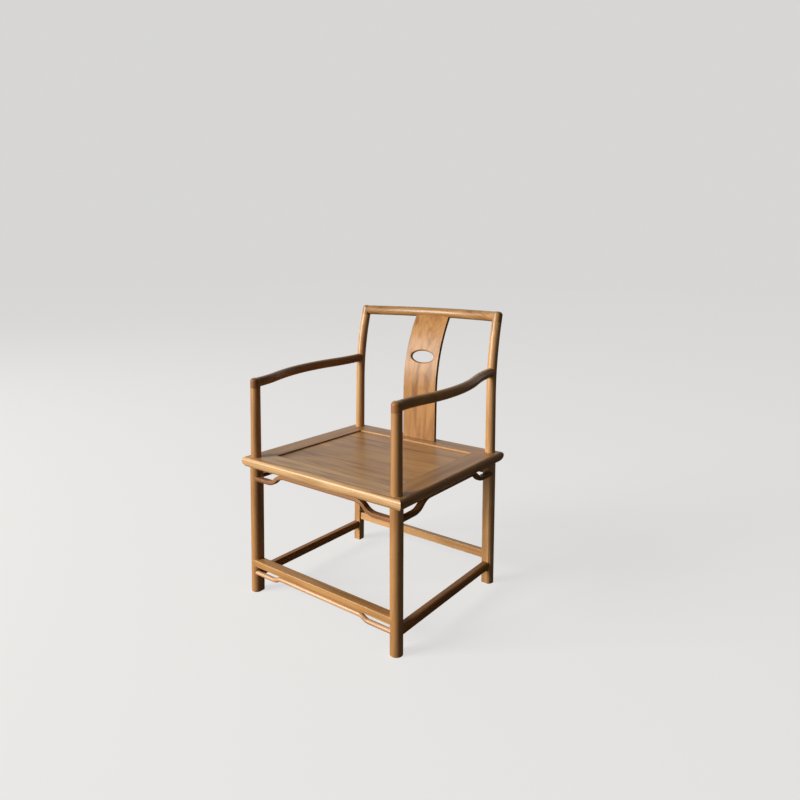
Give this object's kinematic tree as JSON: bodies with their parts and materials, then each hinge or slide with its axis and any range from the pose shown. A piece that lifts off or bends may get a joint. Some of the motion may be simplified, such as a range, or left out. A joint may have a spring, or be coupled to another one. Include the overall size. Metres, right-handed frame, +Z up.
{
  "type": "chinese armchair",
  "caption": "Low-backed wooden armchair with round legs and posts, bowed armrests, a bent splat with an oval hand hole, a framed seat and hump-backed braces.",
  "frame": {"origin": "on the floor, under the middle of the chair's outline", "axes": "+Z up, +X to the sitter's left, +Y to the back; the sitter faces -Y"},
  "size_m": [0.6132, 0.5902, 0.8564],
  "materials": {
    "legs": "honey-brown elm, satin lacquer",
    "armrests": "honey-brown elm, satin lacquer",
    "crest_rail": "honey-brown elm, satin lacquer",
    "splat": "honey-brown elm, satin lacquer",
    "seat_frame": "honey-brown elm, satin lacquer",
    "seat_boards": "honey-brown elm, satin lacquer",
    "battens": "bare elm",
    "braces": "honey-brown elm, satin lacquer",
    "stretchers": "honey-brown elm, satin lacquer"
  },
  "bodies": {
    "root": {"front_leg_left": "legs", "front_leg_right": "legs", "back_leg_left": "legs", "back_leg_right": "legs", "armrest_left": "armrests", "armrest_right": "armrests", "crest_rail": "crest_rail", "back_splat": "splat", "seat_front_rail": "seat_frame", "seat_back_rail": "seat_frame", "seat_side_rail_left": "seat_frame", "seat_side_rail_right": "seat_frame", "seat_board_front": "seat_boards", "seat_board_middle": "seat_boards", "seat_board_back": "seat_boards", "seat_batten_left": "battens", "seat_batten_right": "battens", "front_brace": "braces", "back_brace": "braces", "side_brace_left": "braces", "side_brace_right": "braces", "front_stretcher": "stretchers", "back_stretcher": "stretchers", "side_stretcher_left": "stretchers", "side_stretcher_right": "stretchers", "footrest_brace": "braces"}
  },
  "joints": []
}
